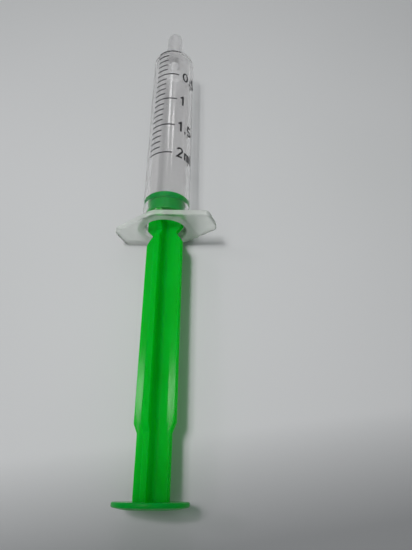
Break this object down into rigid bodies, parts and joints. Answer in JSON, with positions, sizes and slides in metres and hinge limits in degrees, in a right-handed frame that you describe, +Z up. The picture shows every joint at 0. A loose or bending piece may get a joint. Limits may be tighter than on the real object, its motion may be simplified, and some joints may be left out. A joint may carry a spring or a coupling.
{
  "type": "oral syringe",
  "caption": "Small two-piece dosing syringe: clear barrel with slip nozzle, finger flange and printed scale, and a green cross-ribbed plunger that slides in it.",
  "frame": {"origin": "on the ground, under the syringe's axis, halfway along its length as it lies drawn back; it rests on a long side of the finger flange and on the rim of the thumb disc", "axes": "+Y along the syringe towards the nozzle, +X to the right seen from the thumb disc, +Z up"},
  "size_m": [0.0226, 0.1182, 0.0134],
  "materials": {
    "clear_polypropylene": "clear polypropylene, slightly hazy, glossy outside, frosted on the flange faces",
    "green_polyethylene": "bright green polyethylene, semi-gloss, faintly translucent",
    "black_ink": "black printed ink"
  },
  "bodies": {
    "barrel": {"barrel": "clear_polypropylene", "scale_major_lines": "black_ink", "scale_minor_lines": "black_ink", "numeral_0_5": "black_ink", "numeral_1": "black_ink", "numeral_1_5": "black_ink", "numeral_2_ml": "black_ink"},
    "plunger": {"plunger": "green_polyethylene"}
  },
  "joints": [
    {"name": "plunger_slide", "type": "slide", "parent": "barrel", "child": "plunger", "axis": [0, 1, 0], "range_m": [-0.0015, 0.0445]}
  ]
}
